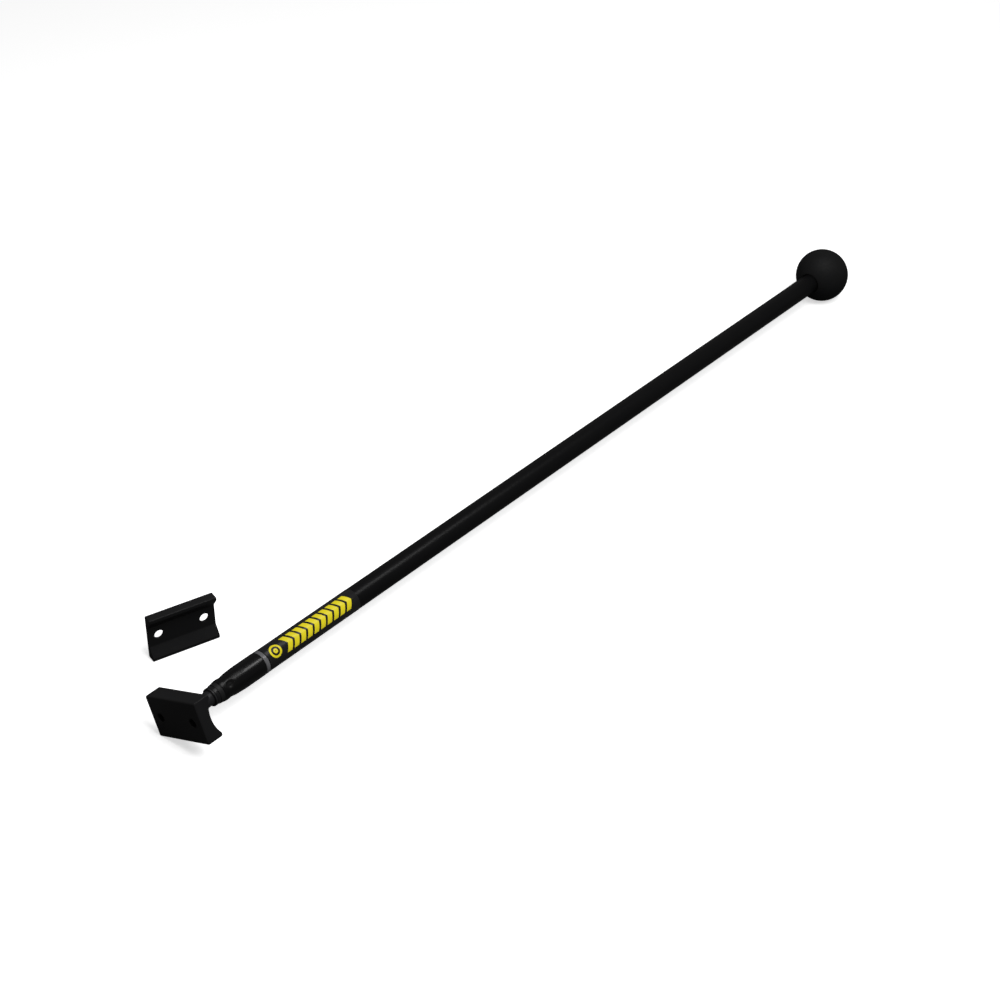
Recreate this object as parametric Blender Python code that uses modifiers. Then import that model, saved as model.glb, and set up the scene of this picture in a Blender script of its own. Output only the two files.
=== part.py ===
"""Bed cargo bar: telescoping twist-lock bar with a ball end, a pivoting foot saddle and a loose wall saddle.

Metres, +Z up; sizes below are in millimetres. +X runs along the level bar from the foot to
the ball; X = 0 is the foot saddle's flat face.
"""
import math

import bmesh
import bpy
from mathutils import Matrix, Vector

MM = 0.001
SEG = 48                    # default sides of a round piece

# places and sizes shared by several sections
BALL_X = 1500.0             # ball centre
SPIN = math.radians(-21.0)  # the foot's turn about the bar
PIVOT_X = 34.0              # pivot pin axis
PIN_R = 4.0
PIN_HOLE_R = PIN_R + 0.3
SCREW_OUT = 18.0            # clevis screws, to each side of the bar axis
SCREW_HOLE_R = 2.4

# tubes
OUT_OD, OUT_ID = 31.8, 28.8
OUT_X0, OUT_X1 = 150.8, 1483.7
IN_OD, IN_ID = 25.4, 22.4
IN_X0, IN_X1 = 60.0, 625.0
TUBE_CHAMFER = 0.3
SLIDE_R = OUT_ID / 2 - 0.3  # parts that fit inside the outer tube

# frames: where a piece's origin is and how it is turned
X_AXIS, Y_AXIS, Z_AXIS = (1, 0, 0), (0, 1, 0), (0, 0, 1)
ALONG_X = (0.0, math.pi / 2, 0.0)
FOOT = dict(rot=(SPIN, 0, 0))
PIVOT = dict(loc=(PIVOT_X, 0, 0), rot=(SPIN, 0, 0))
ON_PIN = dict(loc=(PIVOT_X, 0, 0), rot=(SPIN - math.pi / 2, 0, 0))  # local z is the pivot's +Y

# looks
BLACK_STEEL = dict(colour=(0.012, 0.012, 0.013), metallic=0.0, roughness=0.42)
BRIGHT_STEEL = dict(colour=(0.60, 0.61, 0.62), metallic=1.0, roughness=0.32)
DARK_STEEL = dict(colour=(0.05, 0.05, 0.055), metallic=0.9, roughness=0.45)
GLOSS_BLACK = dict(colour=(0.010, 0.010, 0.011), metallic=0.0, roughness=0.16)
MATT_BLACK = dict(colour=(0.018, 0.018, 0.018), metallic=0.0, roughness=0.6)
RUBBER = dict(colour=(0.014, 0.014, 0.014), metallic=0.0, roughness=0.75)
GREY_NYLON = dict(colour=(0.30, 0.30, 0.31), metallic=0.0, roughness=0.45)
WHITE_NYLON = dict(colour=(0.65, 0.64, 0.60), metallic=0.0, roughness=0.5)
BRASS = dict(colour=(0.70, 0.50, 0.20), metallic=1.0, roughness=0.35)
LABEL_FILM = dict(colour=(0.02, 0.02, 0.02), metallic=0.0, roughness=0.35)

for old in list(bpy.data.objects):
    bpy.data.objects.remove(old, do_unlink=True)


# ---------------------------------------------------------------- helpers
def collection(name):
    made = bpy.data.collections.new(name)
    bpy.context.scene.collection.children.link(made)
    return made


parts = collection("bed_cargo_bar")
cutters = collection("cutters")


def material(name, colour, metallic, roughness):
    mat = bpy.data.materials.new("mat_" + name)
    mat.use_nodes = True
    bsdf = mat.node_tree.nodes["Principled BSDF"]
    bsdf.inputs["Base Color"].default_value = (*colour, 1.0)
    bsdf.inputs["Metallic"].default_value = metallic
    bsdf.inputs["Roughness"].default_value = roughness
    return mat


def add(name, bm, loc, rot, look):
    """Turn a bmesh into an object; without a look it is a hidden boolean helper."""
    mesh = bpy.data.meshes.new(name)
    bm.to_mesh(mesh)
    bm.free()
    ob = bpy.data.objects.new(name, mesh)
    ob.location = Vector(loc) * MM
    ob.rotation_euler = rot
    if look is None:
        cutters.objects.link(ob)
        ob.hide_render = True
        ob.display_type = "WIRE"
    else:
        parts.objects.link(ob)
        mesh.materials.append(material(name, **look))
    return ob


def add_solid(name, bm, loc=(0, 0, 0), rot=(0, 0, 0), look=None):
    bmesh.ops.recalc_face_normals(bm, faces=bm.faces[:])
    return add(name, bm, loc, rot, look)


def lathe(name, profile, look=None, loc=(0, 0, 0), rot=ALONG_X, steps=SEG, closed=True):
    """Turn (radius, height) points about local z; an open profile starts and ends on the axis."""
    bm = bmesh.new()
    verts = [bm.verts.new((radius * MM, 0.0, height * MM)) for radius, height in profile]
    for start, end in zip(verts, verts[1:]):
        bm.edges.new((start, end))
    if closed:
        bm.edges.new((verts[-1], verts[0]))
    ob = add(name, bm, loc, rot, look)
    screw = ob.modifiers.new("turn", "SCREW")
    screw.axis = "Z"
    screw.angle = 2 * math.pi
    screw.steps = steps
    screw.render_steps = steps
    screw.use_merge_vertices = True
    screw.merge_threshold = 0.00001
    screw.use_smooth_shade = True
    return ob


def sleeve(r_out, r_in, start, end, chamfer=0.0):
    """Closed profile of a plain or chamfered sleeve."""
    if not chamfer:
        return [(r_out, end), (r_out, start), (r_in, start), (r_in, end)]
    return [(r_out - chamfer, end), (r_out, end - chamfer),
            (r_out, start + chamfer), (r_out - chamfer, start),
            (r_in + chamfer, start), (r_in, start + chamfer),
            (r_in, end - chamfer), (r_in + chamfer, end)]


def cylinder(name, radius, length, centre, axis, seg=SEG, **placing):
    """A cylinder; centre and axis are in the object's own frame."""
    bm = bmesh.new()
    turn = Vector(Z_AXIS).rotation_difference(Vector(axis)).to_matrix().to_4x4()
    bmesh.ops.create_cone(bm, cap_ends=True, segments=seg, radius1=radius * MM,
                          radius2=radius * MM, depth=length * MM,
                          matrix=Matrix.Translation(Vector(centre) * MM) @ turn)
    return add_solid(name, bm, **placing)


def block(name, size, centre, **placing):
    bm = bmesh.new()
    bmesh.ops.create_cube(bm, size=1.0, matrix=Matrix.Translation(Vector(centre) * MM)
                          @ Matrix.Diagonal((*[s * MM for s in size], 1.0)))
    return add_solid(name, bm, **placing)


def boolean(ob, other, how="DIFFERENCE"):
    mod = ob.modifiers.new(how.lower(), "BOOLEAN")
    mod.operation = how
    mod.solver = "EXACT"
    mod.object = other


def bevel(ob, width):
    mod = ob.modifiers.new("edge", "BEVEL")
    mod.width = width * MM
    mod.segments = 3
    mod.limit_method = "ANGLE"
    mod.angle_limit = math.radians(40.0)


def drill_pair(ob, name, radius, length, x, out, seg, **placing):
    """Two holes along local x, centred at x and at y = -out and +out."""
    for side in (-1, 1):
        boolean(ob, cylinder(f"{name}_{side + 1}", radius, length, (x, side * out, 0), X_AXIS,
                             seg=seg, **placing))


# ---------------------------------------------------------------- outer tube and label
LABEL_X0, LABEL_X1 = 151.6, 321.0
LABEL_R_OUT, LABEL_R_IN = 16.25, 16.0

outer = lathe("outer_tube", sleeve(OUT_OD / 2, OUT_ID / 2, OUT_X0, OUT_X1, TUBE_CHAMFER),
              BLACK_STEEL)
lathe("label_wrap", sleeve(LABEL_R_OUT, LABEL_R_IN, LABEL_X0, LABEL_X1), LABEL_FILM)

# ---------------------------------------------------------------- collet
# (radius, x): spigot in the tube, flange between collar and tube, fingers under the collar
COLLET = [
    (13.7, 192.0), (SLIDE_R, 191.0), (SLIDE_R, 150.5), (15.9, 150.5), (16.3, 150.1),
    (16.3, 144.9), (15.8, 144.4), (14.4, 144.4), (14.4, 103.0), (13.6, 99.0), (13.0, 99.0),
    (13.0, 192.0)]
SLOT_X, SLOT_L, SLOT_GAP = 117.0, 40.0, 1.4

# two crossed slots split the sleeve into four fingers
collet = lathe("collet_body", COLLET, GREY_NYLON)
boolean(collet, block("slot_a", (SLOT_L, SLOT_L, SLOT_GAP), (SLOT_X, 0, 0)))
boolean(collet, block("slot_b", (SLOT_L, SLOT_GAP, SLOT_L), (SLOT_X, 0, 0)))

# ---------------------------------------------------------------- ball end
PLUG_X0, PLUG_X1, PLUG_BORE_R, PLUG_CHAMFER = 1440.3, 1483.5, 4.4, 0.6
RIVET_X, RIVET_Z = 1464.0, 9.0
RIVET_R, RIVET_L, RIVET_HOLE_R = 2.0, 23.0, 2.3
NUT_X, NUT_R, NUT_L, NUT_BORE_R = 1436.6, 7.4, 6.8, 4.35
BALL_R = 44.0
SOCKET_R, SOCKET_L, SOCKET_FLOOR_X = 16.3, 80.0, 1484.0
# (radius, x)
STUD = [(0, 1505.0), (3.4, 1505.0), (4.0, 1504.3), (4.0, 1432.7), (3.4, 1432.0), (0, 1432.0)]
# (radius, x): waisted insert, bored from the tube side for the stud
INSERT = [
    (0, 1515.0), (9.0, 1515.0), (9.0, 1509.0), (7.0, 1508.0), (7.0, 1492.0), (9.0, 1491.0),
    (9.0, 1484.2), (4.4, 1484.2), (4.4, 1505.6), (0, 1505.6)]
# (radius, x): the insert's outside with clearance
POCKET = [
    (0, 1515.4), (9.35, 1515.4), (9.35, 1508.7), (7.35, 1507.7), (7.35, 1492.3),
    (9.35, 1491.3), (9.35, 1483.0), (0, 1483.0)]

# plug and the rivet that crosses it and the tube above the stud
plug = lathe("ball_plug", sleeve(SLIDE_R, PLUG_BORE_R, PLUG_X0, PLUG_X1, PLUG_CHAMFER),
             WHITE_NYLON)
rivet_hole = cylinder("rivet_hole", RIVET_HOLE_R, 60.0, (RIVET_X, 0, RIVET_Z), Y_AXIS, seg=24)
boolean(plug, rivet_hole)
boolean(outer, rivet_hole)
cylinder("ball_plug_pin", RIVET_R, RIVET_L, (0, 0, 0), Y_AXIS, seg=24,
         loc=(RIVET_X, 0, RIVET_Z), look=BRIGHT_STEEL)

# stud and nut
lathe("ball_stud", STUD, BRIGHT_STEEL, closed=False, steps=32)
nut = cylinder("stud_nut", NUT_R, NUT_L, (NUT_X, 0, 0), X_AXIS, seg=6, look=BRIGHT_STEEL)
boolean(nut, cylinder("nut_bore", NUT_BORE_R, 20.0, (NUT_X, 0, 0), X_AXIS, seg=32))

lathe("ball_insert", INSERT, BRASS, closed=False, steps=32)

# ball, hollowed for the tube end and the insert
bm = bmesh.new()
bmesh.ops.create_uvsphere(bm, u_segments=48, v_segments=24, radius=BALL_R * MM,
                          matrix=Matrix.Rotation(math.pi / 2, 4, "Y"))
ball = add_solid("ball_end", bm, loc=(BALL_X, 0, 0), look=RUBBER)
for face in ball.data.polygons:
    face.use_smooth = True
boolean(ball, cylinder("socket", SOCKET_R, SOCKET_L, (SOCKET_FLOOR_X - SOCKET_L / 2, 0, 0),
                       X_AXIS))
boolean(ball, lathe("pocket", POCKET, closed=False, steps=32))

# ---------------------------------------------------------------- lock collar
COLLAR_X0, COLLAR_X1, COLLAR_R = 72.0, 144.1, 16.5
SCOOP_X, SCOOP_OUT = 84.0, 21.25    # scoop centre along the bar and out from its axis
SCOOP_AT = math.radians(132.7)      # first scoop's angle from +Y towards +Z
SCOOP_HALF = (9.0, 7.0, 7.0)        # ellipsoid half-sizes
# (radius, x)
COLLAR = [
    (15.9, COLLAR_X1), (COLLAR_R, COLLAR_X1 - 0.6), (COLLAR_R, 113.0), (16.35, 107.0),
    (15.95, 99.5), (15.5, 90.0), (15.3, 82.0), (15.25, 78.6), (14.95, 76.0), (14.6, 73.4),
    (14.3, COLLAR_X0), (13.75, COLLAR_X0), (13.75, 77.0), (13.2, 77.0), (13.2, 88.0),
    (14.75, 99.0), (14.75, COLLAR_X1)]
NOSE_WIPER = [(13.5, 76.6), (13.5, 71.7), (14.2, 71.7), (13.3, 65.4), (13.0, 65.4), (13.0, 76.6)]

collar = lathe("lock_collar", COLLAR, GLOSS_BLACK)
for i in range(4):
    angle = SCOOP_AT + i * math.pi / 2
    bm = bmesh.new()
    bmesh.ops.create_uvsphere(bm, u_segments=20, v_segments=10, radius=1.0,
                              matrix=Matrix.Diagonal((*[s * MM for s in SCOOP_HALF], 1.0)))
    boolean(collar, add_solid(f"scoop_{i}", bm, loc=(
        SCOOP_X, math.cos(angle) * SCOOP_OUT, math.sin(angle) * SCOOP_OUT)))

# ring in the collar's foot-side mouth
lathe("nose_wiper", NOSE_WIPER, MATT_BLACK)

# ---------------------------------------------------------------- inner tube, its bush and cap
GLIDE_X0, GLIDE_X1, GLIDE_BORE_R = 585.0, 622.0, 13.0
# (radius, x)
END_CAP = [
    (0, 629.0), (12.6, 629.0), (13.9, 628.0), (13.9, 625.3), (10.9, 625.3), (10.9, 606.0),
    (10.4, 605.5), (0, 605.5)]

lathe("glide_bush", sleeve(SLIDE_R, GLIDE_BORE_R, GLIDE_X0, GLIDE_X1, 0.4), WHITE_NYLON)
inner = lathe("inner_tube", sleeve(IN_OD / 2, IN_ID / 2, IN_X0, IN_X1, TUBE_CHAMFER),
              BLACK_STEEL)
lathe("inner_end_cap", END_CAP, MATT_BLACK, closed=False)

# ---------------------------------------------------------------- eye fitting
EYE_R, EYE_HALF = 9.5, 5.0
EYE_BORE_R = 6.0
NECK_L = 14.2               # flat neck from the pivot axis into the shank
CROSS_X = 68.0              # pin through shank and inner tube
CROSS_R, CROSS_L, CROSS_HOLE_R = 2.05, 24.6, 2.4
# (radius, x): plug in the inner tube, shoulder at the tube end, boss on the eye side
SHANK = [
    (0, 88.0), (10.2, 88.0), (10.9, 87.2), (10.9, 59.7), (12.4, 59.7), (12.7, 59.4),
    (12.7, 57.6), (12.4, 57.3), (9.9, 57.3), (9.9, 46.4), (9.2, 45.6), (0, 45.6)]

# the neck is slightly lower and the round slightly thinner, so their faces never coincide
fitting = block("eye_fitting", (NECK_L, 2 * EYE_HALF, 2 * EYE_R - 0.7), (NECK_L / 2, 0, 0),
                look=BRIGHT_STEEL, **PIVOT)
boolean(fitting, cylinder("eye_round", EYE_R, 2 * EYE_HALF - 0.1, (0, 0, 0), Y_AXIS, **PIVOT),
        "UNION")
boolean(fitting, lathe("shank", SHANK, closed=False), "UNION")
boolean(fitting, cylinder("eye_hole", EYE_BORE_R, 40.0, (0, 0, 0), Y_AXIS, **PIVOT))

CROSS = dict(loc=(CROSS_X, 0, 0), rot=(SPIN, 0, 0))
cross_hole = cylinder("cross_hole", CROSS_HOLE_R, 40.0, (0, 0, 0), Z_AXIS, seg=24, **CROSS)
boolean(fitting, cross_hole)
boolean(inner, cross_hole)
cylinder("eye_fitting_pin", CROSS_R, CROSS_L, (0, 0, 0), Z_AXIS, seg=24, look=DARK_STEEL,
         **CROSS)

BUSH_R, BUSH_HALF = 5.7, EYE_HALF + 0.2
lathe("pivot_bush", sleeve(BUSH_R, PIN_HOLE_R, -BUSH_HALF, BUSH_HALF, 0.2), BRASS, steps=32,
      **ON_PIN)

# ---------------------------------------------------------------- foot saddle
SADDLE_W, SADDLE_H, SADDLE_D = 98.0, 59.0, 25.0
SADDLE_EDGE = 2.2
TROUGH_R, TROUGH_HALF = 44.0, 24.5      # trough radius and half-width at its mouth
TROUGH_X = SADDLE_D + math.sqrt(TROUGH_R ** 2 - TROUGH_HALF ** 2)
HOLE_D, HOLE_PITCH = 12.0, 64.0

# flat face at local x = 0, round trough across the +X side
foot = block("foot_saddle", (SADDLE_D, SADDLE_W, SADDLE_H), (SADDLE_D / 2, 0, 0),
             look=MATT_BLACK, **FOOT)
bevel(foot, SADDLE_EDGE)
boolean(foot, cylinder("foot_saddle_trough", TROUGH_R, SADDLE_W + 20, (TROUGH_X, 0, 0), Y_AXIS,
                       seg=80, **FOOT))
drill_pair(foot, "foot_saddle_hole", HOLE_D / 2, length=60.0, x=10.0, out=HOLE_PITCH / 2,
           seg=28, **FOOT)
drill_pair(foot, "pilot", SCREW_HOLE_R, length=24.0, x=18.3, out=SCREW_OUT, seg=24, **FOOT)

# ---------------------------------------------------------------- clevis
BASE_X0, BASE_X1, BASE_HALF_Y, BASE_HALF_Z = 18.8, 21.8, 24.0, 9.0
EAR_IN, EAR_OUT, EAR_R = 7.0, 10.0, 9.0
EAR_L = PIVOT_X - BASE_X0 - 1.0         # the ears start inside the base plate
# (radius, x)
CLEVIS_SCREW = [
    (0, 24.7), (2.6, 24.5), (3.8, 23.5), (4.0, 22.1), (2.1, 22.1), (2.1, 8.1), (1.2, 6.9),
    (0, 6.9)]
WASHER_R, WASHER_OUT, WASHER_HALF = 8.0, 6.1, 0.6

# base plate with two round-ended ears
clevis = block("clevis_bracket", (BASE_X1 - BASE_X0, 2 * BASE_HALF_Y, 2 * BASE_HALF_Z),
               ((BASE_X0 + BASE_X1) / 2 - PIVOT_X, 0, 0), look=DARK_STEEL, **PIVOT)
for side in (-1, 1):
    ear_y = side * (EAR_IN + EAR_OUT) / 2
    boolean(clevis, block(f"ear_{side + 1}", (EAR_L, EAR_OUT - EAR_IN, 2 * EAR_R - 0.3),
                          (-EAR_L / 2, ear_y, 0), **PIVOT), "UNION")
    boolean(clevis, cylinder(f"ear_tip_{side + 1}", EAR_R, EAR_OUT - EAR_IN - 0.1,
                             (0, ear_y, 0), Y_AXIS, **PIVOT), "UNION")
drill_pair(clevis, "screw_hole", SCREW_HOLE_R, length=20.0, x=-13.0, out=SCREW_OUT, seg=24,
           **PIVOT)
boolean(clevis, cylinder("pin_hole", PIN_HOLE_R, 60.0, (0, 0, 0), Y_AXIS, seg=32, **PIVOT))

# screws and washers; left is +Y
for side, tag in ((1, "left"), (-1, "right")):
    out = side * SCREW_OUT
    lathe("clevis_screw_" + tag, CLEVIS_SCREW, BRIGHT_STEEL, closed=False, steps=24,
          loc=(0, out * math.cos(SPIN), out * math.sin(SPIN)))
    washer_y = side * WASHER_OUT
    lathe("pivot_washer_" + tag,
          sleeve(WASHER_R, PIN_HOLE_R, washer_y - WASHER_HALF, washer_y + WASHER_HALF),
          BRIGHT_STEEL, steps=32, **ON_PIN)

# ---------------------------------------------------------------- pivot pin and clip
# (radius, distance along the pin): head on the +Y side, clip groove on the -Y side
PIVOT_PIN = [
    (0, 12.8), (5.6, 12.8), (6.4, 12.1), (6.4, 10.3), (PIN_R, 10.3), (PIN_R, -10.5),
    (3.2, -10.5), (3.2, -12.1), (PIN_R, -12.1), (PIN_R, -13.2), (3.4, -13.8), (0, -13.8)]
CLIP_R_OUT, CLIP_R_IN = 6.6, 3.5
CLIP_Y0, CLIP_Y1 = -11.9, -10.7

lathe("pivot_pin", PIVOT_PIN, BRIGHT_STEEL, closed=False, steps=32, **ON_PIN)
clip = lathe("pin_clip", sleeve(CLIP_R_OUT, CLIP_R_IN, CLIP_Y0, CLIP_Y1), DARK_STEEL, steps=32,
             **ON_PIN)
boolean(clip, block("clip_gap", (12.0, 8.0, 5.0), (7.0, (CLIP_Y0 + CLIP_Y1) / 2, 0), **PIVOT))

# ---------------------------------------------------------------- loose wall saddle
WALL_W, WALL_H, WALL_D = 98.0, 67.6, 15.0
WALL_FLOOR = 5.0                        # thickness left under the trough
WALL_EDGE = 1.8
FLOOR_HALF, MOUTH_HALF = 15.5, 28.8     # trough half-widths at its floor and mouth
WALL_HOLE_D, WALL_HOLE_PITCH = 13.5, 66.0
CUT_DEPTH = 12.0                        # the cutter runs past the mouth at the same slope
CUT_HALF = FLOOR_HALF + (MOUTH_HALF - FLOOR_HALF) * CUT_DEPTH / (WALL_D - WALL_FLOOR)
# origin at the centre of its flat back, long edge down; its trough side (local +x) looks
# along the yawed -Y
WALL = dict(loc=(147.4, 149.8, -10.5), rot=(0, 0, math.radians(-18.0) - math.pi / 2))

wall = block("wall_saddle", (WALL_D, WALL_W, WALL_H), (WALL_D / 2, 0, 0), look=MATT_BLACK,
             **WALL)
bevel(wall, WALL_EDGE)

# trough cutter: a four-sided frustum, small end on the trough floor, stretched along y
bm = bmesh.new()
bmesh.ops.create_cone(bm, cap_ends=True, segments=4, radius1=FLOOR_HALF * math.sqrt(2) * MM,
                      radius2=CUT_HALF * math.sqrt(2) * MM, depth=CUT_DEPTH * MM,
                      matrix=Matrix.Translation(((WALL_FLOOR + CUT_DEPTH / 2) * MM, 0, 0))
                      @ Matrix.Rotation(math.pi / 2, 4, "Y") @ Matrix.Diagonal((1, 8, 1, 1))
                      @ Matrix.Rotation(math.pi / 4, 4, "Z"))
boolean(wall, add_solid("wall_trough", bm, **WALL))
drill_pair(wall, "wall_hole", WALL_HOLE_D / 2, length=60.0, x=5.0, out=WALL_HOLE_PITCH / 2,
           seg=32, **WALL)
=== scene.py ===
"""A telescoping tube with a ball end, a lock collar and a hinged foot, and a loose wall saddle.

The tube lies along X: the foot saddle starts at x = 0 and the ball is centred at x = 1500 mm.
The foot and its hinge are turned about X. The wall saddle lies apart, on the +Y side.
Lengths are in millimetres unless noted, and become metres when meshes are made.
"""

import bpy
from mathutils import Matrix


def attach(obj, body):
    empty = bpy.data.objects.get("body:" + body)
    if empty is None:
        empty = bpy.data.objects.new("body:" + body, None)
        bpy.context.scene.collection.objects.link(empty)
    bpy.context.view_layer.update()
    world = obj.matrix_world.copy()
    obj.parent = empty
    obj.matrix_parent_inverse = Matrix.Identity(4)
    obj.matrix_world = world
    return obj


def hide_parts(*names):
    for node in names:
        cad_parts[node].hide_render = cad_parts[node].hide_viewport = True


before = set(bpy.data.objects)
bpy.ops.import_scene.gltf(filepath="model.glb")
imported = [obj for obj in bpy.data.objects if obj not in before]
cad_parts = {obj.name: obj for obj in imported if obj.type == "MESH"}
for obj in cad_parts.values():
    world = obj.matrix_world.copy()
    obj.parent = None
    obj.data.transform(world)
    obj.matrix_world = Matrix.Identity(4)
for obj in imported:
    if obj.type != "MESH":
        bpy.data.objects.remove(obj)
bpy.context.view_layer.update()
import math

import bmesh
import bpy
from mathutils import Matrix, Vector

scene = bpy.context.scene

MM = 0.001
SEGMENTS = 160        # around a turned piece
PIVOT_X = 34.0                         # hinge pin between foot and inner tube
SCREW_Y = 18.0                         # clevis screws, either side of the axis
BALL_X = 1500.0
FLOOR_Z = -44.3

# Local frames. The pin's local X runs along +Y of the foot.
FOOT = Matrix.Rotation(math.radians(-21.0), 4, "X")
AT_PIVOT = Matrix.Translation((PIVOT_X * MM, 0, 0))
X_TO_Y = Matrix.Rotation(math.pi / 2, 4, "Z")
PIN = FOOT @ AT_PIVOT @ X_TO_Y
WALL = (Matrix.Translation((147.4 * MM, 149.8 * MM, -10.5 * MM))
        @ Matrix.Rotation(math.radians(-18.0) - math.pi / 2, 4, "Z"))


# ------------------------------------------------------------------ materials
def material(name, base, rough, mottle, metallic=0.0, spec=0.5, rough_var=0.04,
             grain=0.0, grain_scale=900.0):
    """Coarse noise varies colour (mottle) and roughness; fine noise adds a bump (grain)."""
    mat = bpy.data.materials.new(name)
    mat.use_nodes = True
    nodes, links = mat.node_tree.nodes, mat.node_tree.links
    bsdf = nodes["Principled BSDF"]
    bsdf.inputs["Metallic"].default_value = metallic
    bsdf.inputs["Specular IOR Level"].default_value = spec
    bsdf.inputs["Coat Roughness"].default_value = 0.1
    coords = nodes.new("ShaderNodeTexCoord")

    def noise(scale, detail):
        node = nodes.new("ShaderNodeTexNoise")
        node.inputs["Scale"].default_value = scale
        node.inputs["Detail"].default_value = detail
        links.new(coords.outputs["Object"], node.inputs["Vector"])
        return node.outputs["Fac"]

    coarse = noise(scale=38.0, detail=5.0)
    rough_range = nodes.new("ShaderNodeMapRange")
    rough_range.inputs["To Min"].default_value = max(0.02, rough - rough_var)
    rough_range.inputs["To Max"].default_value = min(1.0, rough + rough_var)
    links.new(coarse, rough_range.inputs["Value"])
    links.new(rough_range.outputs["Result"], bsdf.inputs["Roughness"])

    colour = nodes.new("ShaderNodeMix")
    colour.data_type = "RGBA"
    low = [c * (1.0 - mottle) for c in base]
    high = [min(1.0, c * (1.0 + mottle)) for c in base]
    colour.inputs["A"].default_value = (*low, 1.0)
    colour.inputs["B"].default_value = (*high, 1.0)
    links.new(coarse, colour.inputs["Factor"])
    links.new(colour.outputs["Result"], bsdf.inputs["Base Color"])

    if grain:
        bump = nodes.new("ShaderNodeBump")
        bump.inputs["Strength"].default_value = grain
        bump.inputs["Distance"].default_value = 0.0002
        links.new(noise(scale=grain_scale, detail=3.0), bump.inputs["Height"])
        links.new(bump.outputs["Normal"], bsdf.inputs["Normal"])
    return mat


POWDER = material("powder_black", (0.0036, 0.0036, 0.0038), rough=0.34, mottle=0.15,
                  spec=0.17, grain=0.22, grain_scale=700)
INNER = material("inner_black", (0.006, 0.006, 0.0065), rough=0.27, mottle=0.08,
                 grain=0.08, grain_scale=500)
GLOSS = material("collar_gloss", (0.0016, 0.0016, 0.0017), rough=0.27, mottle=0.08,
                 spec=0.45, rough_var=0.03)
WIPER = material("wiper_black", (0.008, 0.008, 0.008), rough=0.5, mottle=0.1, grain=0.4)
RING = material("ring_grey", (0.105, 0.105, 0.11), rough=0.30, mottle=0.06, grain=0.2)
RUBBER = material("ball_rubber", (0.0062, 0.0062, 0.0064), rough=0.62, mottle=0.18,
                  spec=0.28, grain=0.6, grain_scale=520)
SADDLE = material("saddle_black", (0.0070, 0.0070, 0.0074), rough=0.46, mottle=0.15,
                  spec=0.38, grain=0.5, grain_scale=480)
FILM = material("label_film", (0.010, 0.010, 0.010), rough=0.27, mottle=0.05,
                spec=0.4, grain=0.05)
YELLOW = material("label_yellow", (0.70, 0.60, 0.016), rough=0.36, mottle=0.05, spec=0.4)
ZINC = material("zinc", (0.46, 0.465, 0.47), rough=0.30, mottle=0.12, metallic=1.0, grain=0.12)
DARK = material("dark_steel", (0.03, 0.03, 0.032), rough=0.42, mottle=0.15,
                metallic=0.6, grain=0.3)
BRASS = material("brass", (0.62, 0.43, 0.16), rough=0.32, mottle=0.12, metallic=1.0, grain=0.1)
NYLON = material("nylon_natural", (0.62, 0.60, 0.55), rough=0.5, mottle=0.05, grain=0.2)


# ------------------------------------------------------------------ outlines
def fillet(points, radii, steps=5):
    """Rounds the corners of a closed outline. radii is one number or one per corner."""
    out = []
    for i, point in enumerate(points):
        radius = radii[i] if isinstance(radii, list) else radii
        corner = Vector(point)
        if radius <= 0:
            out.append(tuple(corner))
            continue
        back = Vector(points[i - 1]) - corner
        ahead = Vector(points[(i + 1) % len(points)]) - corner
        back_length, ahead_length = back.length, ahead.length
        back, ahead = back / back_length, ahead / ahead_length
        half_angle = math.acos(back.dot(ahead)) / 2
        setback = min(radius / math.tan(half_angle), back_length * 0.49, ahead_length * 0.49)
        start, end = corner + back * setback, corner + ahead * setback
        for j in range(steps + 1):
            t = j / steps
            # a quadratic blend is close enough to an arc at these sizes
            out.append(tuple(start * (1 - t) ** 2 + corner * 2 * t * (1 - t) + end * t ** 2))
    return out


def sleeve(inner, outer, start, end, edge, steps=4):
    """Outline of a plain sleeve with rounded edges."""
    corners = [(start, inner), (end, inner), (end, outer), (start, outer)]
    return fillet(corners, edge, steps)


def half_circle(radius, start_angle, steps):
    """Points of a half circle round the pivot, in the X-Z plane."""
    angles = [start_angle + math.pi * i / steps for i in range(steps + 1)]
    return [(PIVOT_X + radius * math.cos(a), radius * math.sin(a)) for a in angles]


def smooth_step(t):
    """Eases from 0 to 1 as t goes from 0 to 1."""
    t = max(0.0, min(1.0, t))
    return t * t * (3 - 2 * t)


# ------------------------------------------------------------------ meshes
def mesh_object(name, bm, world=None):
    mesh = bpy.data.meshes.new(name)
    bm.to_mesh(mesh)
    bm.free()
    if world is not None:
        mesh.transform(world)
    ob = bpy.data.objects.new(name, mesh)
    scene.collection.objects.link(ob)
    return ob


def face_outward(bm):
    bmesh.ops.recalc_face_normals(bm, faces=bm.faces[:])


def turned(name, outline, world=None, segments=SEGMENTS, radial=None):
    """Turns a closed outline of (along, radius) about local X.

    radial(x, radius, angle) may alter a radius. A point on the axis becomes one vertex.
    """
    bm = bmesh.new()
    rings = []
    for x, radius in outline:
        if radius < 1e-6:
            rings.append([bm.verts.new((x * MM, 0, 0))])
            continue
        ring = []
        for k in range(segments):
            a = 2 * math.pi * k / segments
            r = radial(x, radius, a) if radial else radius
            ring.append(bm.verts.new((x * MM, r * math.cos(a) * MM, r * math.sin(a) * MM)))
        rings.append(ring)
    for i, ring in enumerate(rings):
        after = rings[(i + 1) % len(rings)]
        if len(ring) == 1 and len(after) == 1:
            continue
        for k in range(segments):
            k2 = (k + 1) % segments
            if len(ring) == 1:
                bm.faces.new((ring[0], after[k2], after[k]))
            elif len(after) == 1:
                bm.faces.new((ring[k], ring[k2], after[0]))
            else:
                bm.faces.new((ring[k], ring[k2], after[k2], after[k]))
    face_outward(bm)
    return mesh_object(name, bm, world)


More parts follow.
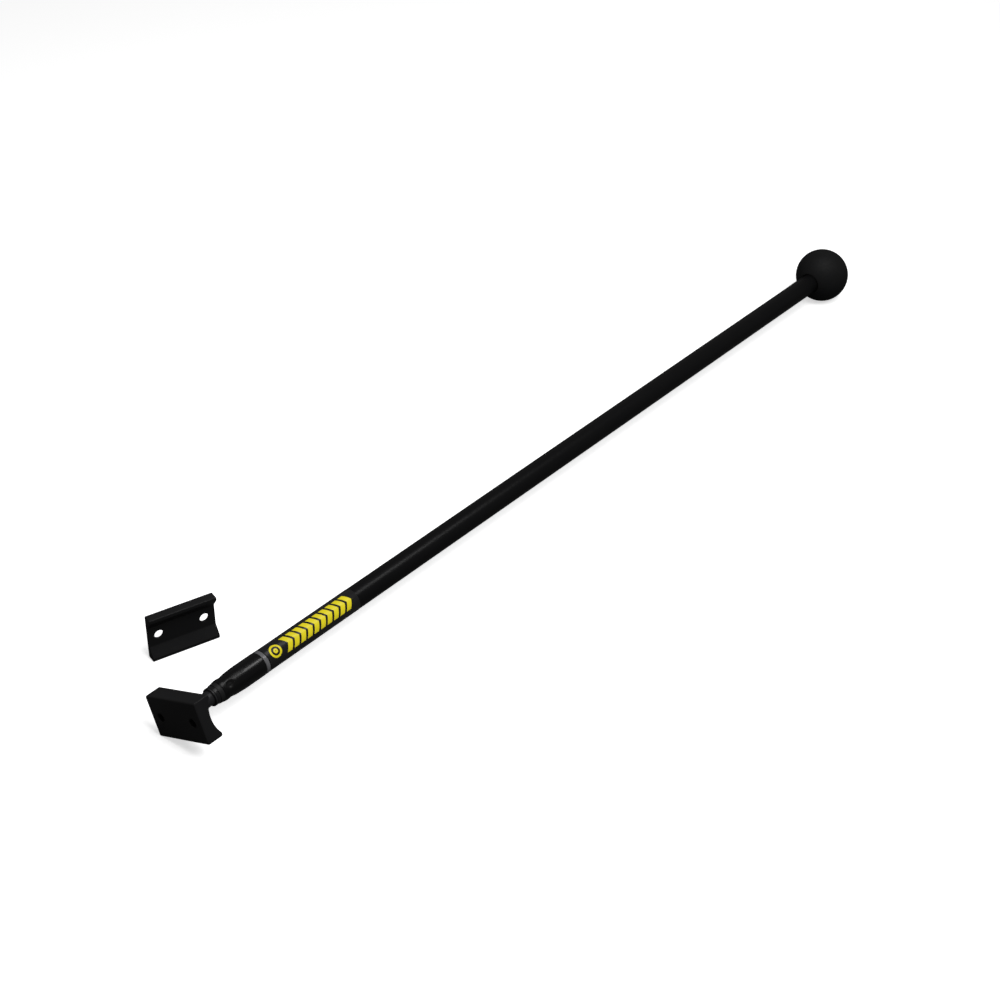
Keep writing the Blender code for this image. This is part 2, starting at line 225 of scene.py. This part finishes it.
def extruded(name, outline, y0, y1):
    """Extrudes an outline in the X-Z plane along Y."""
    bm = bmesh.new()
    near = [bm.verts.new((x * MM, y0 * MM, z * MM)) for x, z in outline]
    far = [bm.verts.new((x * MM, y1 * MM, z * MM)) for x, z in outline]
    bm.faces.new(near)
    bm.faces.new(far[::-1])
    for i in range(len(near)):
        j = (i + 1) % len(near)
        bm.faces.new((near[j], near[i], far[i], far[j]))
    face_outward(bm)
    return mesh_object(name, bm)


def bake(ob):
    """Turns the object's modifiers into plain mesh."""
    depsgraph = bpy.context.evaluated_depsgraph_get()
    depsgraph.update()
    mesh = bpy.data.meshes.new_from_object(
        ob.evaluated_get(depsgraph), preserve_all_data_layers=True, depsgraph=depsgraph)
    ob.modifiers.clear()
    ob.data = mesh


def combine(ob, tool, operation="DIFFERENCE"):
    """Cuts the tool out of the object, or joins it on, and removes the tool."""
    mod = ob.modifiers.new("cut", "BOOLEAN")
    mod.operation = operation
    mod.solver = "EXACT"
    mod.object = tool
    bake(ob)
    bpy.data.objects.remove(tool, do_unlink=True)


def drill(ob, radius, start, end, world, segments):
    """Cuts a round hole that runs along the local X of world."""
    outline = [(start, 0), (start, radius), (end, radius), (end, 0)]
    combine(ob, turned("hole", outline, world, segments))


def add_bevel(ob, width, segments, angle):
    mod = ob.modifiers.new("edge", "BEVEL")
    mod.width = width * MM
    mod.segments = segments
    mod.limit_method = "ANGLE"
    mod.angle_limit = math.radians(angle)


def tidy(ob):
    """Welds near-coincident points, drops collapsed faces and keeps only the main shell."""
    bm = bmesh.new()
    bm.from_mesh(ob.data)
    bmesh.ops.remove_doubles(bm, verts=bm.verts[:], dist=2e-6)
    bmesh.ops.dissolve_degenerate(bm, edges=bm.edges[:], dist=1e-6)
    seen, shells = set(), []
    for first in bm.faces:
        if first in seen:
            continue
        shell, waiting = [], [first]
        seen.add(first)
        while waiting:
            face = waiting.pop()
            shell.append(face)
            for edge in face.edges:
                for neighbour in edge.link_faces:
                    if neighbour not in seen:
                        seen.add(neighbour)
                        waiting.append(neighbour)
        shells.append(shell)
    shells.sort(key=len)
    for shell in shells[:-1]:
        bmesh.ops.delete(bm, geom=shell, context="FACES")
    bm.to_mesh(ob.data)
    bm.free()


def shade(mesh, look, sharp):
    """Gives a mesh its material and smooth shading, split at edges above sharp degrees."""
    if not mesh.materials:
        mesh.materials.append(look)
    for polygon in mesh.polygons:
        polygon.use_smooth = True
    mesh.set_sharp_from_angle(angle=math.radians(sharp))


def finish(ob, look, body, node=None, sharp=32.0):
    """Shades a piece, ties it to its body and puts it in place of a frame node."""
    shade(ob.data, look, sharp)
    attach(ob, body)
    if node:
        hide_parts(node)


# ------------------------------------------------------------------ main tube
LABEL_R = 16.1                         # outer radius of the wrap
MARK_LIFT, MARK_THICK = 0.01, 0.045
LABEL_ANGLE = math.radians(127.0)      # middle of the marks, round the tube from +Y
BADGE_X = 167.0
BADGE_RINGS = ((6.4, 9.4), (0.6, 3.4))  # inner and outer radius
CHEVRON_X, CHEVRON_COUNT = 182.5, 10
CHEVRON_WIDTH, CHEVRON_GAP, CHEVRON_LEAN = 8.6, 3.85, 7.0
CHEVRON_HALF_ARC = 11.5

finish(turned("tube_skin", sleeve(inner=14.4, outer=15.9, start=150.8, end=1483.7, edge=0.5)),
       POWDER, "main_tube", "outer_tube")

# (along, radius) and the fillet at each corner
COLLET = [(99.0, 13.0), (99.0, 13.6), (103.0, 14.4), (144.4, 14.4), (144.4, 16.3),
          (150.5, 16.3), (150.5, 14.1), (191.0, 14.1), (192.0, 13.7), (192.0, 13.0)]
COLLET_FILLETS = [0.2, 0.2, 0.5, 0.0, 0.9, 0.7, 0.0, 0.3, 0.3, 0.2]
finish(turned("collet_skin", fillet(COLLET, COLLET_FILLETS)), RING, "main_tube", "collet_body")

finish(turned("label_film", sleeve(inner=15.95, outer=LABEL_R, start=151.6, end=321.0,
                                   edge=0.05, steps=2)),
       FILM, "main_tube", "label_wrap")


def print_shell(bm, place, v_steps, ring=False, u_steps=3):
    """Adds a printed shape on the wrap as one closed shell.

    place(u, v) gives (x, arc length round the wrap). A ring closes along v.
    """
    verts = {}
    inner = LABEL_R + MARK_LIFT
    columns = v_steps if ring else v_steps + 1
    for side, radius in enumerate((inner, inner + MARK_THICK)):
        for i in range(u_steps + 1):
            for j in range(columns):
                x, arc = place(i / u_steps, j / v_steps)
                a = LABEL_ANGLE - arc / LABEL_R
                point = (x * MM, radius * math.cos(a) * MM, radius * math.sin(a) * MM)
                verts[side, i, j] = bm.verts.new(point)

    def quad(*keys):
        bm.faces.new([verts[key] for key in keys])

    for j in range(v_steps):
        k = (j + 1) % columns
        for side in (0, 1):
            for i in range(u_steps):
                quad((side, i, j), (side, i + 1, j), (side, i + 1, k), (side, i, k))
        for i in (0, u_steps):
            quad((0, i, j), (0, i, k), (1, i, k), (1, i, j))
    if not ring:
        for i in range(u_steps):
            for j in (0, v_steps):
                quad((0, i, j), (0, i + 1, j), (1, i + 1, j), (1, i, j))


def label_marks():
    """Yellow marks: a badge of two rings, then a run of chevrons."""
    bm = bmesh.new()
    for inner, outer in BADGE_RINGS:
        def badge(u, v):
            radius = inner + u * (outer - inner)
            a = 2 * math.pi * v
            return BADGE_X + radius * math.cos(a), radius * math.sin(a)
        print_shell(bm, badge, v_steps=48, ring=True)
    for k in range(CHEVRON_COUNT):
        start = CHEVRON_X + k * (CHEVRON_WIDTH + CHEVRON_GAP)

        def chevron(u, v):
            across = 2 * v - 1
            x = start + u * CHEVRON_WIDTH + CHEVRON_LEAN * (1.0 - abs(across))
            return x, CHEVRON_HALF_ARC * across
        print_shell(bm, chevron, v_steps=32)
    face_outward(bm)
    finish(mesh_object("label_marks", bm), YELLOW, "main_tube")


label_marks()

BALL_R = 43.9
MOUTH_R = 16.9                         # socket mouth, on the -X side
MOUTH_MARGIN = 0.03                    # radians left for the rounded lip
BEAD_HEIGHT, BEAD_HALF = 0.16, 1.0     # parting line round the middle
BALL_STEPS = 110


def ball():
    """Ball with its socket mouth and a fine raised parting line."""
    skin = []
    span = math.pi - math.asin(MOUTH_R / BALL_R) - MOUTH_MARGIN
    for i in range(BALL_STEPS + 1):
        a = span * (1 - i / BALL_STEPS)
        radius = BALL_R
        offset = abs(BALL_R * math.cos(a))
        if offset < BEAD_HALF:
            radius += BEAD_HEIGHT * (0.5 + 0.5 * math.cos(math.pi * offset / BEAD_HALF))
        skin.append((BALL_X + radius * math.cos(a), radius * math.sin(a)))
    lip = skin[0][0]
    # (along, radius), from the blind end of the bore out to the lip
    socket = [(1515.4, 0.0), (1515.4, 9.35), (1484.0, 9.35), (1484.0, 16.25),
              (lip + 0.9, 16.25), (lip + 0.2, 16.5), (lip - 0.15, 17.1), (lip - 0.1, 17.7)]
    finish(turned("ball_skin", socket + skin), RUBBER, "main_tube", "ball_end")


ball()

# ------------------------------------------------------------------ lock collar
COLLAR_R = 16.5
NOSE_START, NOSE_END, NOSE_STEPS = 114.0, 72.5, 100
TAPER_LENGTH, TAPER_DROP = 32.0, 1.2   # long taper from the shoulder
TIP_START, TIP_LENGTH, TIP_DROP = 79.0, 6.5, 0.75
SCOOP_X, SCOOP_ANGLE = 84.0, math.radians(132.7)
SCOOP_PITCH = math.pi / 2              # four scoops round the nose
SCOOP_HALF_LENGTH, SCOOP_HALF_ARC, SCOOP_DEPTH = 9.0, 6.8, 1.25
SCOOP_ARC_R = 15.4                     # radius at which the scoop's arc is measured
SCOOP_EDGE = 0.75                      # share of the scoop taken by its slope
SCOOP_MIN_R = 14.62                    # leaves the bore below the scoops alone

# (along, radius)
COLLAR_REAR = [(144.1, 15.6), (143.95, 16.1), (143.5, 16.42), (142.9, COLLAR_R)]
COLLAR_REAR += [(x, COLLAR_R) for x in (141.5, 136.0, 130.0, 124.0, 119.0, 115.0)]
COLLAR_TIP = [(72.15, 14.38), (72.0, 14.15)]
COLLAR_BORE = [(72.0, 13.75), (77.0, 13.75), (77.0, 13.2), (88.0, 13.2), (99.0, 14.75),
               (143.8, 14.75), (144.1, 15.0)]
WIPER_LIP = [(65.4, 13.0), (65.4, 13.35), (71.7, 14.2), (71.7, 13.5), (76.6, 13.5), (76.6, 13.0)]
WIPER_FILLETS = [0.1, 0.35, 0.3, 0.0, 0.1, 0.1]


def nose_radius(x):
    return (COLLAR_R - TAPER_DROP * smooth_step((NOSE_START - x) / TAPER_LENGTH)
            - TIP_DROP * smooth_step((TIP_START - x) / TIP_LENGTH))


def scooped(x, radius, angle):
    """Sinks four shallow oval scoops into the nose."""
    if radius < SCOOP_MIN_R:
        return radius
    # angle from the nearest scoop
    turn = (angle - SCOOP_ANGLE + SCOOP_PITCH / 2) % SCOOP_PITCH - SCOOP_PITCH / 2
    reach = math.hypot((x - SCOOP_X) / SCOOP_HALF_LENGTH, turn * SCOOP_ARC_R / SCOOP_HALF_ARC)
    return radius - SCOOP_DEPTH * smooth_step((1.0 - reach) / SCOOP_EDGE)


def collar():
    stations = [NOSE_START - (NOSE_START - NOSE_END) * i / NOSE_STEPS
                for i in range(NOSE_STEPS + 1)]
    nose = [(x, nose_radius(x)) for x in stations]
    skin = turned("collar_skin", COLLAR_REAR + nose + COLLAR_TIP + COLLAR_BORE,
                  segments=256, radial=scooped)
    finish(skin, GLOSS, "collar", "lock_collar", sharp=50)


collar()
finish(turned("wiper_skin", fillet(WIPER_LIP, WIPER_FILLETS, 4)), WIPER, "collar", "nose_wiper")

# ------------------------------------------------------------------ inner tube
finish(turned("inner_skin", sleeve(inner=11.2, outer=12.7, start=60.0, end=625.0, edge=0.4)),
       INNER, "inner", "inner_tube")

# ------------------------------------------------------------------ saddles
FOOT_HEIGHT, FOOT_DEPTH = 59.0, 25.0
TROUGH_R, TROUGH_HALF, TROUGH_STEPS = 44.0, 24.5, 36
TROUGH_X = FOOT_DEPTH + math.sqrt(TROUGH_R ** 2 - TROUGH_HALF ** 2)    # centre of the trough
WALL_HEIGHT, WALL_DEPTH, WALL_FLOOR = 67.6, 15.0, 5.0
FLANK_TOP, FLANK_FOOT = 28.8, 15.5     # half heights where the flanks start and end


def saddle(name, outline, width, hole_r, pitch, depth, world, body, node):
    """A block along Y with two countersunk holes along X."""
    ob = extruded(name, outline, -width / 2, width / 2)
    add_bevel(ob, width=1.7, segments=4, angle=50.0)
    bake(ob)
    hole = fillet([(-6, 0), (-6, hole_r + 2.0), (0.0, hole_r + 0.7), (0.75, hole_r),
                   (depth + 6.0, hole_r), (depth + 6.0, 0)], [0, 0, 0.0, 0.6, 0, 0], 4)
    for side in (-1, 1):
        place = Matrix.Translation((0, side * pitch / 2 * MM, 0))
        combine(ob, turned("hole", hole, place, segments=64))
    tidy(ob)
    ob.data.transform(world)
    finish(ob, SADDLE, body, node, sharp=38)


def foot_saddle():
    """The foot's saddle: thick, with a round trough."""
    half = FOOT_HEIGHT / 2
    reach = math.asin(TROUGH_HALF / TROUGH_R)
    angles = [reach - 2 * reach * i / TROUGH_STEPS for i in range(TROUGH_STEPS + 1)]
    trough = [(TROUGH_X - TROUGH_R * math.cos(a), TROUGH_R * math.sin(a)) for a in angles]
    outline = [(0, half), (FOOT_DEPTH, half)] + trough + [(FOOT_DEPTH, -half), (0, -half)]
    radii = [3.2, 2.6, 1.4] + [0.0] * (len(trough) - 2) + [1.4, 2.6, 3.2]
    saddle("foot_saddle_skin", fillet(outline, radii), width=98.0, hole_r=6.0, pitch=64.0,
           depth=FOOT_DEPTH, world=FOOT, body="foot", node="foot_saddle")


def wall_saddle():
    """The loose saddle: a thin floor between sloped flanks."""
    half = WALL_HEIGHT / 2
    upper = [(0, half), (WALL_DEPTH, half), (WALL_DEPTH, FLANK_TOP), (WALL_FLOOR, FLANK_FOOT)]
    lower = [(x, -z) for x, z in reversed(upper)]
    radii = [2.2, 1.8, 1.4, 2.6]
    saddle("wall_saddle_skin", fillet(upper + lower, radii + radii[::-1], 6), width=98.0,
           hole_r=6.75, pitch=66.0, depth=WALL_DEPTH, world=WALL, body="loose_saddle",
           node="wall_saddle")


foot_saddle()
wall_saddle()

# ------------------------------------------------------------------ hinge
# (along, radius) and the fillet at each corner
EYE_SHANK = [(45.6, 0), (45.6, 9.2), (46.4, 9.9), (57.3, 9.9), (57.3, 12.7), (59.7, 12.7),
             (59.7, 10.9), (87.2, 10.9), (88.0, 10.2), (88.0, 0)]
SHANK_FILLETS = [0.0, 0.3, 0.3, 0.3, 0.4, 0.4, 0.2, 0.2, 0.2, 0.0]
PIVOT_PIN = [(-13.8, 0), (-13.8, 3.5), (-13.2, 4.0), (-12.1, 4.0), (-12.1, 3.2), (-10.5, 3.2),
             (-10.5, 4.0), (10.3, 4.0), (10.3, 6.4), (12.1, 6.4), (12.8, 5.6), (12.8, 0)]
PIN_FILLETS = [0, 0.3, 0.3, 0.1, 0, 0, 0.1, 0, 0.3, 0.5, 0.4, 0]
# (along, radius)
SCREW_POINT = [(6.9, 0), (6.9, 1.2), (8.1, 2.1)]
SCREW_HEAD = [(22.1, 2.1), (22.1, 3.9), (22.25, 4.0), (22.9, 3.95), (23.7, 3.5), (24.3, 2.7),
              (24.65, 1.5), (24.7, 0)]
THREAD_START, THREAD_PITCH, THREAD_TURNS = 8.7, 0.9, 14
THREAD_ROOT_R, THREAD_CREST_R = 1.75, 2.1


def clevis():
    """Clevis bracket: base plate and two rounded ears, one pressing."""
    plate = fillet([(18.8, 9.0), (21.8, 9.0), (21.8, -9.0), (18.8, -9.0)], 0.5, 3)
    bracket = extruded("clevis_skin", plate, -24.0, 24.0)
    ear = [(19.6, -8.85)] + half_circle(8.98, -math.pi / 2, steps=28) + [(19.6, 8.85)]
    for y0, y1 in ((-10.0, -7.0), (7.0, 10.0)):
        combine(bracket, extruded("ear", ear, y0, y1), "UNION")
    for side in (-1, 1):
        place = Matrix.Translation((0, side * SCREW_Y * MM, 0))
        drill(bracket, radius=2.4, start=15, end=26, world=place, segments=32)
    drill(bracket, radius=4.3, start=-40, end=40, world=AT_PIVOT @ X_TO_Y, segments=48)
    add_bevel(bracket, width=0.35, segments=2, angle=45.0)
    bake(bracket)
    bracket.data.transform(FOOT)
    finish(bracket, DARK, "foot", "clevis_bracket", sharp=35)


def eye():
    """The flat eye on the pivot and its round shank into the inner tube."""
    flat = ([(48.2, 9.14), (34.6, 9.42)] + half_circle(9.48, math.pi / 2, steps=32)
            + [(34.6, -9.42), (48.2, -9.14)])
    fitting = extruded("eye_skin", flat, -4.97, 4.97)
    shank = turned("shank", fillet(EYE_SHANK, SHANK_FILLETS, 4), segments=128)
    combine(fitting, shank, "UNION")
    drill(fitting, radius=6.0, start=-20, end=20, world=AT_PIVOT @ X_TO_Y, segments=64)
    # hole through the shank, along Z
    cross = Matrix.Translation((68.0 * MM, 0, 0)) @ Matrix.Rotation(math.pi / 2, 4, "Y")
    drill(fitting, radius=2.4, start=-20, end=20, world=cross, segments=32)
    add_bevel(fitting, width=0.3, segments=2, angle=60.0)
    bake(fitting)
    tidy(fitting)
    fitting.data.transform(FOOT)
    finish(fitting, DARK, "inner", "eye_fitting", sharp=35)


def clevis_screw(side, node):
    """A pointed screw along X with a cross cut into its domed head."""
    thread = []
    for k in range(THREAD_TURNS):
        x = THREAD_START + k * THREAD_PITCH
        thread += [(x, THREAD_ROOT_R), (x + THREAD_PITCH / 2, THREAD_CREST_R)]
    screw = turned(node + "_skin", SCREW_POINT + thread + SCREW_HEAD, segments=48)
    for turn in (20, 110):
        bm = bmesh.new()
        place = (Matrix.Translation((24.4 * MM, 0, 0))
                 @ Matrix.Rotation(math.radians(turn), 4, "X")
                 @ Matrix.Diagonal((2.6 * MM, 4.6 * MM, 0.9 * MM, 1.0)))
        bmesh.ops.create_cube(bm, size=1.0, matrix=place)
        combine(screw, mesh_object("slot", bm))
    screw.data.transform(FOOT @ Matrix.Translation((0, side * SCREW_Y * MM, 0)))
    finish(screw, ZINC, "foot", node, sharp=40)


clevis()
eye()
clevis_screw(1, "clevis_screw_left")
clevis_screw(-1, "clevis_screw_right")
finish(turned("pivot_pin_skin", fillet(PIVOT_PIN, PIN_FILLETS, 4), PIN, segments=64),
       ZINC, "foot", "pivot_pin")

# ------------------------------------------------------------------ pieces that keep their mesh
KEPT_LOOKS = {
    "ball_plug": NYLON, "ball_plug_pin": ZINC, "ball_stud": ZINC, "stud_nut": ZINC,
    "ball_insert": BRASS, "glide_bush": NYLON, "inner_end_cap": WIPER, "eye_fitting_pin": DARK,
    "pivot_bush": BRASS, "pivot_washer_left": ZINC, "pivot_washer_right": ZINC,
    "pin_clip": DARK,
}
for node, look in KEPT_LOOKS.items():
    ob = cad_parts[node]
    ob.data.materials.clear()
    shade(ob.data, look, sharp=30)
    add_bevel(ob, width=0.15, segments=2, angle=40)


# ------------------------------------------------------------------ floor and world
def floor():
    """A wide floor: bright to the camera, dark to every other ray."""
    bm = bmesh.new()
    bmesh.ops.create_grid(bm, x_segments=2, y_segments=2, size=30.0)
    ob = mesh_object("floor", bm)
    ob.location = (0, 0, FLOOR_Z * MM)
    mat = bpy.data.materials.new("floor")
    mat.use_nodes = True
    nodes, links = mat.node_tree.nodes, mat.node_tree.links
    bright = nodes["Principled BSDF"]
    bright.inputs["Base Color"].default_value = (0.90, 0.90, 0.90, 1)
    bright.inputs["Roughness"].default_value = 1.0
    bright.inputs["Specular IOR Level"].default_value = 0.0
    path = nodes.new("ShaderNodeLightPath")
    dark = nodes.new("ShaderNodeBsdfDiffuse")
    dark.inputs["Color"].default_value = (0.06, 0.06, 0.06, 1)
    lift = nodes.new("ShaderNodeEmission")
    lift.inputs["Strength"].default_value = 0.62
    lifted = nodes.new("ShaderNodeAddShader")
    links.new(bright.outputs["BSDF"], lifted.inputs[0])
    links.new(lift.outputs["Emission"], lifted.inputs[1])
    switch = nodes.new("ShaderNodeMixShader")
    links.new(path.outputs["Is Camera Ray"], switch.inputs["Fac"])
    links.new(dark.outputs["BSDF"], switch.inputs[1])
    links.new(lifted.outputs["Shader"], switch.inputs[2])
    links.new(switch.outputs["Shader"], nodes["Material Output"].inputs["Surface"])
    ob.data.materials.append(mat)


def studio_world():
    """White to the camera, a faint fill for every other ray."""
    world = bpy.data.worlds.new("studio")
    scene.world = world
    world.use_nodes = True
    nodes, links = world.node_tree.nodes, world.node_tree.links
    background = nodes["Background"]
    background.inputs["Color"].default_value = (1, 1, 1, 1)
    path = nodes.new("ShaderNodeLightPath")
    strength = nodes.new("ShaderNodeMapRange")
    strength.inputs["To Min"].default_value = 0.10
    strength.inputs["To Max"].default_value = 1.0
    links.new(path.outputs["Is Camera Ray"], strength.inputs["Value"])
    links.new(strength.outputs["Result"], background.inputs["Strength"])


floor()
studio_world()


# ------------------------------------------------------------------ lights and camera, in metres
def area(name, location, target, size, energy, size_y=None):
    data = bpy.data.lights.new(name, "AREA")
    data.energy = energy
    data.size = size
    if size_y:
        data.shape = "RECTANGLE"
        data.size_y = size_y
    ob = bpy.data.objects.new(name, data)
    scene.collection.objects.link(ob)
    ob.location = location
    aim = Vector(target) - Vector(location)
    ob.rotation_euler = aim.to_track_quat("-Z", "Y").to_euler()
    return ob


key = area("key", location=(0.35, -1.70, 2.7), target=(0.6, 0.05, 0.0), size=1.9, energy=88.0)
key.visible_glossy = False
area("top", location=(0.60, -0.30, 2.8), target=(0.6, 0.0, 0.0), size=1.4, energy=12.0)
# a small softbox whose reflection draws the bright line along the collar and nearby tube
area("strip", location=(1.33, -0.59, 1.72), target=(0.2, 0.0, 0.0), size=0.52, size_y=0.42,
     energy=4.8)


def camera(location, azimuth, drop, lens):
    """Camera looking azimuth degrees from +Y towards +X, and drop degrees downward."""
    az, el = math.radians(azimuth), math.radians(drop)
    ahead = Vector((math.sin(az) * math.cos(el), math.cos(az) * math.cos(el), -math.sin(el)))
    right = Vector((math.cos(az), -math.sin(az), 0.0))
    up = right.cross(ahead)
    data = bpy.data.cameras.new("camera")
    data.sensor_width = 36.0
    data.lens = lens
    ob = bpy.data.objects.new("camera", data)
    rows = [(right[i], up[i], -ahead[i], location[i]) for i in range(3)]
    ob.matrix_world = Matrix((*rows, (0, 0, 0, 1)))
    scene.collection.objects.link(ob)
    scene.camera = ob


camera(location=(-1.284, -1.571, 1.700), azimuth=50.7, drop=34.5, lens=75.2904)

scene.view_settings.view_transform = "Standard"
scene.view_settings.look = "None"
